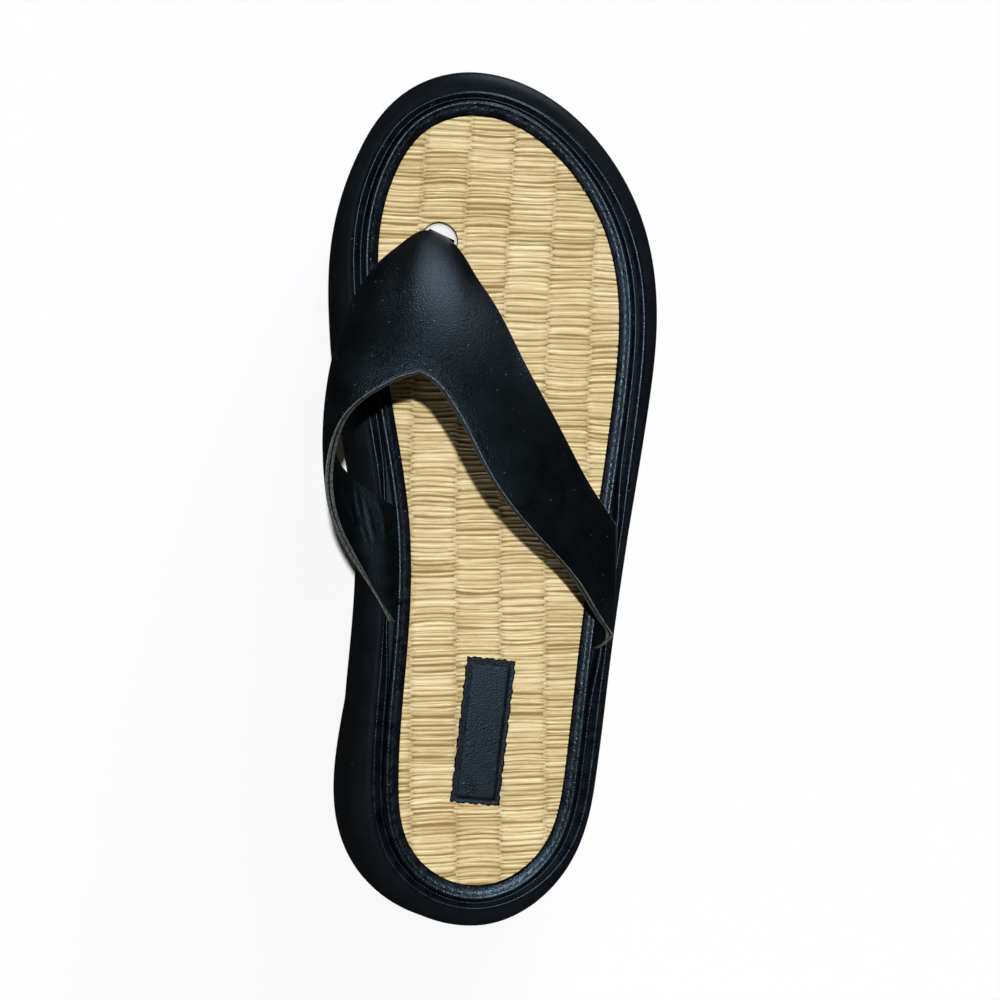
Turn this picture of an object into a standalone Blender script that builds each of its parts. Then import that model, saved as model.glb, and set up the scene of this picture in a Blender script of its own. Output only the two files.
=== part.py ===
"""Platform thong sandal for the right foot.

A thick platform with a rounded shoulder carries a straw footbed in a shallow tray. A padded leather
binding runs round the straw. A wide V strap of one hide comes up out of the groove between the binding
and the platform's lip, and its tip goes down through the straw behind a pale toe post. A blank leather
patch lies on the heel. Metres, +Z up, toe along +Y, outer side of the foot along +X, floor at Z = 0.
"""

import math
from collections import namedtuple

import bmesh
import bpy
import numpy as np

Edge = namedtuple("Edge", "name along inner outer")
Wall = namedtuple("Wall", "name along inner_shoulder inner_flare outer_shoulder outer_flare")
Row = namedtuple("Row", "name front_x front_y front_rise rear_x rear_y rear_rise crown")

# Where the heel-to-toe line and the middle of the footbed lie in the frame
LINE_X = -0.0078
LINE_Y = 0.0002

# Footbed: length of the straw, and the height of its top over the floor at three places
STRAW_LENGTH = 0.2352
HEEL_HEIGHT = 0.0440
BALL_HEIGHT = 0.0400
TOE_HEIGHT = 0.0425
HEEL_SEAT_END = 0.050
BALL_PLACE = 0.165
TOE_TIP_SIDE = -0.0015

# Straw edge: distance from the heel end, then the reach to the inner and to the outer side
EDGE_SECTIONS = (
    Edge("heel_round", 0.0105, 0.0197, 0.0189),
    Edge("heel_widest", 0.0340, 0.0245, 0.0262),
    Edge("shank", 0.0700, 0.0220, 0.0305),
    Edge("waist", 0.1100, 0.0210, 0.0364),
    Edge("ball_rear", 0.1510, 0.0268, 0.0425),
    Edge("ball_widest", 0.1760, 0.0297, 0.0442),
    Edge("toes", 0.2000, 0.0299, 0.0400),
    Edge("toe_round", 0.2180, 0.0248, 0.0297),
    Edge("toe_end", 0.2295, 0.0167, 0.0170),
)
STATIONS = 48
FINE_STEPS = 24

# Layers across the edge, measured outwards from the straw
GAP = 0.0003
FOOTBED_THICK = 0.0050
BINDING_WIDTH = 0.0041
BINDING_CROWN = 0.0014
BINDING_STEPS = 6
GROOVE_WIDTH = 0.0029
LIP_WIDTH = 0.0014
LIP_CROWN = 0.0006
LIP_DROP = 0.0006
LIP_FIRST_TURN = math.radians(30)
LIP_STEPS = 5

# Platform wall: reach of the rounded shoulder and of the flare below it, on the inner and outer side
WALL_SECTIONS = (
    Wall("heel", 0.000, 0.0080, 0.0064, 0.0026, 0.0050),
    Wall("shank", 0.050, 0.0058, 0.0022, 0.0034, 0.0046),
    Wall("waist", 0.110, 0.0058, 0.0018, 0.0040, 0.0044),
    Wall("ball", 0.170, 0.0055, 0.0018, 0.0058, 0.0044),
    Wall("toe", 0.235, 0.0044, 0.0006, 0.0076, 0.0042),
)
TOE_SHOULDER = 0.0072
TOE_FLARE = 0.0006
TOE_SWING = 0.0015
HEEL_SHOULDER = 0.0062
HEEL_FLARE = 0.0010
HEEL_SWING = -0.0095
SHOULDER_DROP = 0.0075
SHOULDER_STEPS = 5
WALL_BULGE = 0.0006
FLOOR_ROUND = 0.0030
FLOOR_ROUND_STEPS = 3
TOE_SPRING = 0.0060
TOE_SPRING_START = 0.185
HEEL_BEVEL = 0.0020
HEEL_BEVEL_END = 0.012

# Strap: rows from the inner foot of the V round to the outer foot. Places are measured from the
# heel-to-toe line and the middle of the footbed, rises from the top of the straw, and the crown is how
# far the middle of the band stands out between its two edges.
STRAP_THICK = 0.0023
STRAP_ROWS = (
    Row("inner_low", -0.0385, 0.0062, 0.0088, -0.0355, -0.0220, 0.0080, 0.0004),
    Row("inner_side", -0.0434, 0.0152, 0.0150, -0.0435, -0.0080, 0.0160, 0.0006),
    Row("inner_shoulder", -0.0438, 0.0375, 0.0200, -0.0458, 0.0110, 0.0250, 0.0012),
    Row("inner_top", -0.0392, 0.0550, 0.0195, -0.0406, 0.0240, 0.0325, 0.0028),
    Row("inner_toe", -0.0288, 0.0708, 0.0108, -0.0312, 0.0313, 0.0360, 0.0046),
    Row("inner_near_tip", -0.0223, 0.0766, 0.0058, -0.0274, 0.0333, 0.0366, 0.0054),
    Row("tip_inner", -0.0164, 0.0809, 0.0025, -0.0238, 0.0344, 0.0370, 0.0060),
    Row("tip_outer", -0.0076, 0.0769, 0.0025, -0.0182, 0.0338, 0.0372, 0.0060),
    Row("outer_near_tip", -0.0034, 0.0684, 0.0085, -0.0141, 0.0298, 0.0372, 0.0052),
    Row("outer_toe", 0.0009, 0.0604, 0.0140, -0.0101, 0.0238, 0.0370, 0.0042),
    Row("outer_top", 0.0096, 0.0414, 0.0220, -0.0004, 0.0060, 0.0345, 0.0026),
    Row("outer_shoulder", 0.0186, 0.0242, 0.0240, 0.0124, -0.0094, 0.0285, 0.0016),
    Row("outer_side", 0.0294, 0.0062, 0.0170, 0.0268, -0.0240, 0.0180, 0.0010),
    Row("outer_low", 0.0392, -0.0056, 0.0070, 0.0380, -0.0402, 0.0068, 0.0004),
)
INNER_FOOT = (-0.0020, -0.0368)
OUTER_FOOT = (-0.0085, -0.0455)
FOOT_TOP_RISE = 0.0016
FOOT_END_RISE = -0.0046
TAB_RISES = (0.0002, -0.0022, -0.0046)
SPAN_STEPS = 3
BAND_STEPS = 10

# Toe hole in the straw, and the half-moon post in front of the strap's tip
HOLE_X = -0.0120
HOLE_Y = 0.0794
HOLE_RADIUS = 0.0060
HOLE_SIDES = 40
HOLE_CUT_DEPTH = 0.020
POST_TURN = math.radians(-24)
POST_FLAT = 0.0012
POST_BELOW_TOP = 0.0006
POST_ROUND = 0.0012
POST_ROUND_STEPS = 3

# Heel patch, blank
PATCH_X = 0.0010
PATCH_Y = -0.0705
PATCH_WIDTH = 0.0150
PATCH_LENGTH = 0.0444
PATCH_THICK = 0.0012
PATCH_TURN = math.radians(-6.8)
PATCH_CUTS = 6
PATCH_ROUND = 0.0004
PATCH_ROUND_STEPS = 2

# Finishes: base colour and roughness
FINISHES = {
    "black_sole": ((0.012, 0.013, 0.016), 0.55),
    "black_binding": ((0.012, 0.013, 0.017), 0.42),
    "straw": ((0.63, 0.47, 0.25), 0.62),
    "black_hide": ((0.010, 0.011, 0.014), 0.45),
    "pale_post": ((0.78, 0.78, 0.79), 0.40),
    "patch_hide": ((0.014, 0.015, 0.020), 0.48),
}
SMOOTH_ANGLE = math.radians(40)


def clear_scene():
    for obj in list(bpy.data.objects):
        bpy.data.objects.remove(obj, do_unlink=True)


def finish_material(slot):
    """A Principled material with the slot's colour and roughness."""
    colour, roughness = FINISHES[slot]
    material = bpy.data.materials.new(slot)
    material.use_nodes = True
    shader = material.node_tree.nodes["Principled BSDF"]
    shader.inputs["Base Color"].default_value = (*colour, 1.0)
    shader.inputs["Roughness"].default_value = roughness
    return material


def make_object(name, builder, slot):
    """Puts a bmesh into the scene as a named object with its own finish, its faces pointing out."""
    bmesh.ops.recalc_face_normals(builder, faces=builder.faces)
    mesh = bpy.data.meshes.new(name)
    builder.to_mesh(mesh)
    builder.free()
    mesh.shade_smooth()
    mesh.set_sharp_from_angle(angle=SMOOTH_ANGLE)
    mesh.materials.append(finish_material(slot))
    obj = bpy.data.objects.new(name, mesh)
    bpy.context.scene.collection.objects.link(obj)
    return obj


def spline(knots, at, closed=False):
    """Points of a smooth cubic curve through the knots. `at` counts knots: 1.5 is midway from 1 to 2.

    A knot may be a single point or a whole row of points, which are then carried along together.
    """
    knots = np.asarray(knots, float)
    count = len(knots)
    flat = knots.reshape(count, -1)
    chords = np.linalg.norm(np.roll(knots, -1, axis=0) - knots, axis=-1).reshape(count, -1).mean(axis=1)
    system = np.eye(count)
    target = np.zeros_like(flat)
    for i in range(count) if closed else range(1, count - 1):
        before, after = (i - 1) % count, (i + 1) % count
        left, right = chords[before], chords[i]
        system[i, [before, i, after]] = left, 2 * (left + right), right
        target[i] = 6 * ((flat[after] - flat[i]) / right - (flat[i] - flat[before]) / left)
    bend = np.linalg.solve(system, target)
    start = np.minimum(at.astype(int), count - 1 if closed else count - 2)
    end = (start + 1) % count
    part = (at - start)[:, None]
    rest = 1 - part
    size = chords[start][:, None] ** 2 / 6
    curve = flat[start] * rest + flat[end] * part
    curve += size * ((rest**3 - rest) * bend[start] + (part**3 - part) * bend[end])
    return curve.reshape(len(at), *knots.shape[1:])


def straw_edge():
    """The straw's outline as paired stations, heel, outer side, toe, inner side, with outward normals."""
    half = STRAW_LENGTH / 2
    outer = [(section.outer, section.along - half) for section in EDGE_SECTIONS]
    inner = [(-section.inner, section.along - half) for section in EDGE_SECTIONS]
    knots = [(0.0, -half), *outer, (TOE_TIP_SIDE, half), *reversed(inner)]
    fine = spline(knots, np.arange(len(knots) * FINE_STEPS) / FINE_STEPS, closed=True)
    tangent = np.roll(fine, -1, axis=0) - np.roll(fine, 1, axis=0)
    normal = np.column_stack([tangent[:, 1], -tangent[:, 0]])
    normal /= np.linalg.norm(normal, axis=1)[:, None]
    heel, toe = fine[:, 1].argmin(), fine[:, 1].argmax()
    outer_way = np.arange(heel, heel + (toe - heel) % len(fine) + 1) % len(fine)
    inner_way = np.arange(heel, heel - (heel - toe) % len(fine) - 1, -1) % len(fine)
    share = (1 - np.cos(np.pi * np.arange(STATIONS + 1) / STATIONS)) / 2
    levels = fine[heel, 1] + (fine[toe, 1] - fine[heel, 1]) * share
    chains = []
    for way in (outer_way, inner_way):
        columns = np.column_stack([fine, normal])[way]
        chains.append(np.column_stack([np.interp(levels, columns[:, 1], column) for column in columns.T]))
    loop = np.concatenate([chains[0][:-1], chains[1][:0:-1]])
    points, normals = loop[:, :2], loop[:, 2:]
    normals[0], normals[STATIONS] = (0, -1), (0, 1)
    return points, normals / np.linalg.norm(normals, axis=1)[:, None]


EDGE, EDGE_NORMAL = straw_edge()


def footbed_height(y):
    """Height of the straw's top over the floor: level heel seat, slope to the ball, lift to the toe."""
    along = np.asarray(y, float) + STRAW_LENGTH / 2
    slope = np.clip((along - HEEL_SEAT_END) / (BALL_PLACE - HEEL_SEAT_END), 0, 1)
    lift = np.clip((along - BALL_PLACE) / (STRAW_LENGTH - BALL_PLACE), 0, None)
    drop = (HEEL_HEIGHT - BALL_HEIGHT) * slope**2 * (3 - 2 * slope)
    return HEEL_HEIGHT - drop + (TOE_HEIGHT - BALL_HEIGHT) * lift**2


def floor_height(y):
    """Height of the platform's underside: flat from heel to ball, with toe spring and a small heel bevel."""
    along = np.asarray(y, float) + STRAW_LENGTH / 2
    toe = np.clip((along - TOE_SPRING_START) / (STRAW_LENGTH - TOE_SPRING_START), 0, None)
    heel = np.clip((HEEL_BEVEL_END - along) / HEEL_BEVEL_END, 0, None)
    return TOE_SPRING * toe**2 + HEEL_BEVEL * heel**2


def by_side(toe, heel, inner, outer):
    """A size at every station that changes smoothly with the way the edge faces there."""
    across, along = EDGE_NORMAL.T
    return np.where(across > 0, outer, inner) * across**2 + np.where(along > 0, toe, heel) * along**2


def wall_column(name):
    """One column of the wall's table, read at every station."""
    places = [section.along for section in WALL_SECTIONS]
    sizes = [getattr(section, name) for section in WALL_SECTIONS]
    return np.interp(EDGE[:, 1] + STRAW_LENGTH / 2, places, sizes)


def moved_edge(offset):
    """The straw edge moved outwards by an offset, one for all stations or one for each."""
    return EDGE + EDGE_NORMAL * np.broadcast_to(offset, len(EDGE))[:, None]


def ring(offset, height):
    """One closed ring of points round the shoe, at a height over the floor for each station."""
    return np.column_stack([moved_edge(offset), np.broadcast_to(height, len(EDGE))])


def level(offset, rise):
    """A ring that follows the footbed's top at a rise over it."""
    return ring(offset, footbed_height(moved_edge(offset)[:, 1]) + rise)


def placed(point):
    """A point measured from the footbed's own lines, moved into the frame."""
    return (point[0] + LINE_X, point[1] + LINE_Y, point[2])


def on_footbed(x, y, rise):
    """A placed point at a rise over the top of the straw."""
    return placed((x, y, float(footbed_height(y)) + rise))


def add_ring(builder, points):
    """A ring of vertices and the edges that close it."""
    verts = [builder.verts.new(placed(point)) for point in points]
    edges = [builder.edges.new((verts[i - 1], verts[i])) for i in range(len(verts))]
    return verts, edges


def add_rings(builder, rings, closed=False):
    """Rings bridged one to the next, and the last to the first if closed. Returns the rings' vertices."""
    made = [add_ring(builder, points) for points in rings]
    following = made[1:] + made[:1] if closed else made[1:]
    for (_, low), (_, high) in zip(made, following):
        bmesh.ops.bridge_loops(builder, edges=low + high)
    return [verts for verts, _ in made]


def add_cap(builder, loop):
    """Closes a ring with faces that run straight across the shoe, so that the cap follows its length."""
    count = len(loop)
    toe = count // 2
    builder.faces.new((loop[0], loop[1], loop[-1]))
    for i in range(1, toe - 1):
        builder.faces.new((loop[i], loop[i + 1], loop[count - i - 1], loop[count - i]))
    builder.faces.new((loop[toe - 1], loop[toe], loop[toe + 1]))


def platform_sole():
    """The platform: flat underside, flared wall, rounded shoulder, raised lip and the footbed's tray."""
    lip_inside = BINDING_WIDTH + GROOVE_WIDTH
    lip_outside = lip_inside + LIP_WIDTH
    shoulder = lip_outside + by_side(
        TOE_SHOULDER,
        HEEL_SHOULDER,
        wall_column("inner_shoulder"),
        wall_column("outer_shoulder"),
    )
    widest = shoulder + by_side(
        TOE_FLARE + TOE_SWING * EDGE_NORMAL[:, 0],
        HEEL_FLARE + HEEL_SWING * EDGE_NORMAL[:, 0],
        wall_column("inner_flare"),
        wall_column("outer_flare"),
    )
    rim = footbed_height(moved_edge(lip_outside)[:, 1]) - LIP_DROP
    floor = floor_height(moved_edge(widest)[:, 1])
    shoulder_foot = rim - SHOULDER_DROP
    rings = []
    for turn in np.linspace(0, math.pi / 2, FLOOR_ROUND_STEPS):
        out = widest - FLOOR_ROUND * (1 - math.sin(turn))
        rings.append(ring(out, floor + FLOOR_ROUND * (1 - math.cos(turn))))
    halfway = (floor + FLOOR_ROUND + shoulder_foot) / 2
    rings.append(ring((widest + shoulder) / 2 + WALL_BULGE, halfway))
    for turn in np.linspace(0, math.pi / 2, SHOULDER_STEPS):
        out = lip_outside + (shoulder - lip_outside) * math.cos(turn)
        rings.append(ring(out, shoulder_foot + SHOULDER_DROP * math.sin(turn)))
    for turn in np.linspace(LIP_FIRST_TURN, math.pi, LIP_STEPS):
        out = lip_inside + LIP_WIDTH * (1 + math.cos(turn)) / 2
        rings.append(ring(out, rim + LIP_CROWN * math.sin(turn)))
    rings.append(level(lip_inside, -FOOTBED_THICK - GAP))
    builder = bmesh.new()
    made = add_rings(builder, rings)
    add_cap(builder, made[0])
    add_cap(builder, made[-1])
    return make_object("platform_sole", builder, "black_sole")


def footbed_binding():
    """The padded leather binding: a ring with a rounded crown, standing in the tray round the straw."""
    rings = [level(GAP, -FOOTBED_THICK), level(BINDING_WIDTH, -FOOTBED_THICK)]
    middle = (BINDING_WIDTH + GAP) / 2
    reach = (BINDING_WIDTH - GAP) / 2
    for turn in np.linspace(0, math.pi, BINDING_STEPS + 1):
        rings.append(level(middle + reach * math.cos(turn), BINDING_CROWN * math.sin(turn)))
    builder = bmesh.new()
    add_rings(builder, rings, closed=True)
    return make_object("footbed_binding", builder, "black_binding")


def toe_hole_cutter():
    """A round helper that cuts the toe hole and isn't part of the sandal."""
    builder = bmesh.new()
    bmesh.ops.create_cone(
        builder,
        cap_ends=True,
        segments=HOLE_SIDES,
        radius1=HOLE_RADIUS,
        radius2=HOLE_RADIUS,
        depth=HOLE_CUT_DEPTH,
    )
    bmesh.ops.translate(builder, verts=builder.verts, vec=on_footbed(HOLE_X, HOLE_Y, 0.0))
    cutter = make_object("toe_hole_cutter", builder, "straw")
    cutter.hide_render = True
    cutter.display_type = "WIRE"
    return cutter


def straw_insole():
    """The straw footbed, filling the binding, with the round toe hole cut through it."""
    builder = bmesh.new()
    made = add_rings(builder, [level(0.0, -FOOTBED_THICK), level(0.0, 0.0)])
    add_cap(builder, made[0])
    add_cap(builder, made[-1])
    insole = make_object("straw_insole", builder, "straw")
    cut = insole.modifiers.new("toe_hole", "BOOLEAN")
    cut.operation = "DIFFERENCE"
    cut.object = toe_hole_cutter()
    return insole


def groove_points(y, outer_side):
    """The middle of the groove between binding and lip, at places y on one side of the shoe."""
    middle = moved_edge(BINDING_WIDTH + GROOVE_WIDTH / 2)
    inner_way = [0, *range(len(middle) - 1, STATIONS - 1, -1)]
    side = middle[: STATIONS + 1] if outer_side else middle[inner_way]
    return np.column_stack([np.interp(y, side[:, 1], side[:, 0]), y])


def foot_row(ends, rise, outer_side):
    """A row of the strap's sheet that stands in the groove, front to rear."""
    y = np.linspace(*ends, BAND_STEPS + 1)
    return np.column_stack([groove_points(y, outer_side), footbed_height(y) + rise])


def band_row(row):
    """A straight row of the strap's sheet from its front edge to its rear edge."""
    front = (row.front_x, row.front_y, footbed_height(row.front_y) + row.front_rise)
    rear = (row.rear_x, row.rear_y, footbed_height(row.rear_y) + row.rear_rise)
    return np.linspace(front, rear, BAND_STEPS + 1)


def strap_sheet():
    """The strap's middle surface as rows of points, from the inner foot to the outer foot."""
    inner_rows = [foot_row(INNER_FOOT, rise, False) for rise in (FOOT_END_RISE, FOOT_TOP_RISE)]
    outer_rows = [foot_row(OUTER_FOOT, rise, True) for rise in (FOOT_TOP_RISE, FOOT_END_RISE)]
    rows = np.array(inner_rows + [band_row(row) for row in STRAP_ROWS] + outer_rows)
    outward = np.cross(np.gradient(rows, axis=1), np.gradient(rows, axis=0))
    outward /= np.linalg.norm(outward, axis=2)[:, :, None]
    crowns = np.pad([row.crown for row in STRAP_ROWS], len(inner_rows))
    share = np.linspace(0, 1, BAND_STEPS + 1)
    rows += outward * np.outer(crowns, 4 * share * (1 - share))[:, :, None]
    return spline(rows, np.arange((len(rows) - 1) * SPAN_STEPS + 1) / SPAN_STEPS)


def tip_rows():
    """First and last row of the finished sheet between which the tab hangs."""
    names = ["inner_foot_end", "inner_foot_top", *(row.name for row in STRAP_ROWS)]
    return names.index("tip_inner") * SPAN_STEPS, names.index("tip_outer") * SPAN_STEPS


def thong_strap():
    """The V strap: one sheet, with a tab at its tip that goes down the toe hole, given a thickness."""
    sheet = strap_sheet()
    builder = bmesh.new()
    bmesh.ops.create_grid(builder, x_segments=BAND_STEPS, y_segments=len(sheet) - 1, size=1)
    builder.verts.ensure_lookup_table()
    for vert, point in zip(builder.verts, sheet.reshape(-1, 3)):
        vert.co = placed(point)
    first, last = tip_rows()
    tip = [builder.verts[i * (BAND_STEPS + 1)] for i in range(first, last + 1)]
    edges = [builder.edges.get(pair) for pair in zip(tip, tip[1:])]
    tab_line = np.linspace(sheet[first, 0], sheet[last, 0], len(tip))
    for rise in TAB_RISES:
        made = bmesh.ops.extrude_edge_only(builder, edges=edges)["geom"]
        edges = [item for item in made if isinstance(item, bmesh.types.BMEdge)]
        lower = sorted({vert for edge in edges for vert in edge.verts}, key=lambda vert: vert.co.x)
        for vert, (x, y, _) in zip(lower, tab_line):
            vert.co = on_footbed(x, y, rise)
    strap = make_object("thong_strap", builder, "black_hide")
    hide = strap.modifiers.new("hide_thickness", "SOLIDIFY")
    hide.thickness = STRAP_THICK
    hide.offset = 0.0
    return strap


def raise_and_round(builder, height, rounding, steps):
    """Extrudes a flat outline upwards and rounds the edge of its top."""
    raised = bmesh.ops.extrude_face_region(builder, geom=list(builder.faces))["geom"]
    top = {item for item in raised if isinstance(item, bmesh.types.BMFace)}
    verts = [item for item in raised if isinstance(item, bmesh.types.BMVert)]
    bmesh.ops.translate(builder, verts=verts, vec=(0, 0, height))
    rim = [edge for edge in builder.edges if len(top.intersection(edge.link_faces)) == 1]
    bmesh.ops.bevel(builder, geom=rim, offset=rounding, segments=steps, profile=0.5, affect="EDGES")


def turned(x, y, turn, across, ahead):
    """A place given across and ahead of the middle of a piece that is turned about +Z."""
    cosine, sine = math.cos(turn), math.sin(turn)
    return x + across * cosine - ahead * sine, y + across * sine + ahead * cosine


def toe_post():
    """The half-moon post in the front of the toe hole, its flat side to the strap's tip."""
    builder = bmesh.new()
    bmesh.ops.create_circle(builder, cap_ends=True, radius=HOLE_RADIUS - GAP, segments=HOLE_SIDES)
    bmesh.ops.bisect_plane(
        builder,
        geom=[*builder.verts, *builder.edges, *builder.faces],
        plane_co=(0, POST_FLAT, 0),
        plane_no=(0, 1, 0),
        clear_inner=True,
    )
    bottom = float(footbed_height(HOLE_Y)) - FOOTBED_THICK
    for vert in builder.verts:
        spot = turned(HOLE_X, HOLE_Y, POST_TURN, vert.co.x, vert.co.y)
        vert.co = placed((*spot, bottom))
    raise_and_round(builder, FOOTBED_THICK - POST_BELOW_TOP, POST_ROUND, POST_ROUND_STEPS)
    return make_object("toe_post", builder, "pale_post")


def heel_patch():
    """The blank leather patch, laid on the straw and turned a little towards the outer side."""
    builder = bmesh.new()
    bmesh.ops.create_grid(builder, x_segments=1, y_segments=PATCH_CUTS, size=0.5)
    for vert in builder.verts:
        spot = turned(PATCH_X, PATCH_Y, PATCH_TURN, vert.co.x * PATCH_WIDTH, vert.co.y * PATCH_LENGTH)
        vert.co = on_footbed(*spot, GAP)
    raise_and_round(builder, PATCH_THICK, PATCH_ROUND, PATCH_ROUND_STEPS)
    return make_object("heel_patch", builder, "patch_hide")


def main():
    clear_scene()
    platform_sole()
    footbed_binding()
    straw_insole()
    thong_strap()
    toe_post()
    heel_patch()


main()
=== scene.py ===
# %% [markdown]
# # Dressing a platform thong sandal
#
# The sandal comes packed as plain solids that already have the right size. In this lesson we load
# them as a fixed frame and give them their looks: smooth black leather on the platform, a padded
# binding with its stitches, woven straw, a strap of hide and lining, a pale toe post and a blank
# patch. Everything is in metres: the toe points along +Y, the outer side of the right foot is +X.

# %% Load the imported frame
import math
from collections import namedtuple

import bmesh
import bpy
import numpy as np
from mathutils import Matrix, Vector


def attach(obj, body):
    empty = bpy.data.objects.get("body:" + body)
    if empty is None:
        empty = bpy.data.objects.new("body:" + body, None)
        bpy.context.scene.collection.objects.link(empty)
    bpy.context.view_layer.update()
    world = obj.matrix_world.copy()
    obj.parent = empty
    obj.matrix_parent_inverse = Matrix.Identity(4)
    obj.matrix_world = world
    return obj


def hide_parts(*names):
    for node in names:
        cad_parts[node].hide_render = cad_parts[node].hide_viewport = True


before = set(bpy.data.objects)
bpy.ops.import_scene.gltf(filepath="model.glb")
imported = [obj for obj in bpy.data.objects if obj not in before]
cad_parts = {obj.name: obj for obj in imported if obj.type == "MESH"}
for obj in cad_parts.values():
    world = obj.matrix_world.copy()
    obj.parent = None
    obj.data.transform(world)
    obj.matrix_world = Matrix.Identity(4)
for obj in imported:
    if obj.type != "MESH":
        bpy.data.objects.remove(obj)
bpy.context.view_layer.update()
print("solids loaded:", sorted(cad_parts))

# %% [markdown]
# ## The shoe's own sizes
#
# Every piece below is drawn from the same few sizes as the solids, so that it lies exactly where its
# solid is. We could read points from the loaded meshes, but they are coarse. With the sizes at hand
# we can ask for as many points as a smooth leather surface needs.

# %% Named sizes of the footbed and the platform
Edge = namedtuple("Edge", "name along inner outer")
Wall = namedtuple("Wall", "name along inner_shoulder inner_flare outer_shoulder outer_flare")

LINE_X, LINE_Y = -0.0078, 0.0002
STRAW_LENGTH = 0.2352
HEEL_HEIGHT, BALL_HEIGHT, TOE_HEIGHT = 0.0440, 0.0400, 0.0425
HEEL_SEAT_END, BALL_PLACE = 0.050, 0.165
TOE_TIP_SIDE = -0.0015
EDGE_SECTIONS = (
    Edge("heel_round", 0.0105, 0.0197, 0.0189),
    Edge("heel_widest", 0.0340, 0.0245, 0.0262),
    Edge("shank", 0.0700, 0.0220, 0.0305),
    Edge("waist", 0.1100, 0.0210, 0.0364),
    Edge("ball_rear", 0.1510, 0.0268, 0.0425),
    Edge("ball_widest", 0.1760, 0.0297, 0.0442),
    Edge("toes", 0.2000, 0.0299, 0.0400),
    Edge("toe_round", 0.2180, 0.0248, 0.0297),
    Edge("toe_end", 0.2295, 0.0167, 0.0170),
)
GAP = 0.0003
FOOTBED_THICK = 0.0050
BINDING_WIDTH, GROOVE_WIDTH = 0.0041, 0.0029
LIP_WIDTH, LIP_DROP = 0.0014, 0.0006
WALL_SECTIONS = (
    Wall("heel", 0.000, 0.0080, 0.0064, 0.0026, 0.0050),
    Wall("shank", 0.050, 0.0058, 0.0022, 0.0034, 0.0046),
    Wall("waist", 0.110, 0.0058, 0.0018, 0.0040, 0.0044),
    Wall("ball", 0.170, 0.0055, 0.0018, 0.0058, 0.0044),
    Wall("toe", 0.235, 0.0044, 0.0006, 0.0076, 0.0042),
)
TOE_SHOULDER, TOE_FLARE, TOE_SWING = 0.0072, 0.0006, 0.0015
HEEL_SHOULDER, HEEL_FLARE, HEEL_SWING = 0.0062, 0.0010, -0.0095
SHOULDER_DROP, WALL_BULGE, FLOOR_ROUND = 0.0075, 0.0006, 0.0030
TOE_SPRING, TOE_SPRING_START = 0.0060, 0.185
HEEL_BEVEL, HEEL_BEVEL_END = 0.0020, 0.012
print("straw length", STRAW_LENGTH, "edge sections", len(EDGE_SECTIONS))


# %% A smooth curve through knots
def spline(knots, at, closed=False):
    """Points of a cubic curve through the knots. `at` counts knots: 1.5 is midway from 1 to 2.

    A knot may be a single point or a whole row of points, which are then carried along together.
    """
    knots = np.asarray(knots, float)
    count = len(knots)
    flat = knots.reshape(count, -1)
    chords = np.linalg.norm(np.roll(knots, -1, axis=0) - knots, axis=-1).reshape(count, -1).mean(axis=1)
    system = np.eye(count)
    target = np.zeros_like(flat)
    for i in range(count) if closed else range(1, count - 1):
        before, after = (i - 1) % count, (i + 1) % count
        left, right = chords[before], chords[i]
        system[i, [before, i, after]] = left, 2 * (left + right), right
        target[i] = 6 * ((flat[after] - flat[i]) / right - (flat[i] - flat[before]) / left)
    bend = np.linalg.solve(system, target)
    start = np.minimum(at.astype(int), count - 1 if closed else count - 2)
    end = (start + 1) % count
    part = (at - start)[:, None]
    rest = 1 - part
    size = chords[start][:, None] ** 2 / 6
    curve = flat[start] * rest + flat[end] * part
    curve += size * ((rest**3 - rest) * bend[start] + (part**3 - part) * bend[end])
    return curve.reshape(len(at), *knots.shape[1:])


# %% The straw's outline, as a fine closed line
FINE_STEPS = 60
half_length = STRAW_LENGTH / 2
outer_knots = [(section.outer, section.along - half_length) for section in EDGE_SECTIONS]
inner_knots = [(-section.inner, section.along - half_length) for section in EDGE_SECTIONS]
edge_knots = [(0.0, -half_length), *outer_knots, (TOE_TIP_SIDE, half_length), *reversed(inner_knots)]
fine_edge = spline(edge_knots, np.arange(len(edge_knots) * FINE_STEPS) / FINE_STEPS, closed=True)
fine_edge = np.roll(fine_edge, -fine_edge[:, 1].argmin(), axis=0)
toe_index = fine_edge[:, 1].argmax()


def outward_normals(line):
    """Unit normals of a closed line that runs heel, outer side, toe, inner side."""
    tangent = np.roll(line, -1, axis=0) - np.roll(line, 1, axis=0)
    normal = np.column_stack([tangent[:, 1], -tangent[:, 0]])
    return normal / np.linalg.norm(normal, axis=1)[:, None]


fine_normal = outward_normals(fine_edge)
steps = np.linalg.norm(np.roll(fine_edge, -1, axis=0) - fine_edge, axis=1)
edge_length = steps.sum()
print("round the straw:", round(edge_length * 1000), "mm")


# %% Two ways to place stations on the outline
def two_sides(line):
    """The outer and the inner half of a closed line, both from heel to toe."""
    return line[: toe_index + 1], np.vstack([line[toe_index:], line[:1]])[::-1]


def even_edge(count):
    """Evenly spaced stations round the straw, with their normals and their distance along the edge."""
    along = np.concatenate([[0], np.cumsum(steps)])
    columns = np.column_stack([fine_edge, fine_normal])
    columns = np.vstack([columns, columns[:1]])
    places = edge_length * np.arange(count) / count
    found = np.column_stack([np.interp(places, along, column) for column in columns.T])
    return found[:, :2], found[:, 2:] / np.linalg.norm(found[:, 2:], axis=1)[:, None], places


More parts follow.
